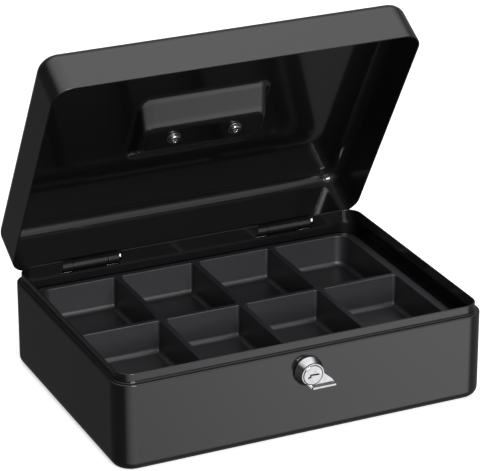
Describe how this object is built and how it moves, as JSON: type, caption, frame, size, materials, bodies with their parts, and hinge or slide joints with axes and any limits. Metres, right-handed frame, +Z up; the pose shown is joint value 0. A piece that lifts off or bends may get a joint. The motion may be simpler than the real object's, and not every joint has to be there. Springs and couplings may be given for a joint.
{
  "type": "cash box",
  "caption": "Lockable steel cash box with a hinged lid on a raised collar, a folding handle in a pressed pocket, a cam lock and a lift-out compartment tray for coins.",
  "frame": {"origin": "middle of the flat underside of the case", "axes": "+X to the right for someone facing the lock, -Y the side with the lock, +Z up"},
  "size_m": [0.25, 0.2158, 0.2275],
  "materials": {
    "black_enamel": "smooth semi-gloss black stove enamel on sheet steel",
    "zinc_steel": "plain zinc-plated steel",
    "chrome": "bright nickel or chrome plating",
    "black_plastic": "satin black moulded plastic"
  },
  "bodies": {
    "case": {"case_shell": "black_enamel", "tray_rest_left": "black_enamel", "tray_rest_right": "black_enamel", "hinge_case_left": "black_enamel", "hinge_case_right": "black_enamel", "hinge_pin_left": "black_enamel", "hinge_pin_right": "black_enamel", "lock_housing": "chrome", "lock_nut": "zinc_steel"},
    "lid": {"lid_shell": "black_enamel", "hinge_lid_left": "black_enamel", "hinge_lid_right": "black_enamel", "lid_strike": "zinc_steel", "handle_bracket": "zinc_steel", "handle_rivet_left": "chrome", "handle_rivet_right": "chrome", "handle_washer_left": "zinc_steel", "handle_washer_right": "zinc_steel"},
    "handle": {"handle_bail": "chrome"},
    "lock": {"lock_plug": "chrome", "lock_lever": "chrome", "lock_cam": "zinc_steel", "cam_screw": "zinc_steel"},
    "tray": {"coin_tray": "black_plastic"}
  },
  "joints": [
    {"name": "lid_hinge", "type": "hinge", "parent": "case", "child": "lid", "pos_m": [0, 0.0915, 0.0572], "axis": [-1, 0, 0], "range_deg": [-59.7, 45]},
    {"name": "handle_hinge", "type": "hinge", "parent": "lid", "child": "handle", "pos_m": [0, 0.07173, 0.14178], "axis": [-1, 0, 0], "range_deg": [0, 95]},
    {"name": "lock_turn", "type": "hinge", "parent": "case", "child": "lock", "pos_m": [0, -0.09, 0.0445], "axis": [0, 1, 0], "range_deg": [0, 90]},
    {"name": "tray_lift", "type": "slide", "parent": "case", "child": "tray", "axis": [0, 0, 1], "range_m": [0, 0.02]}
  ]
}
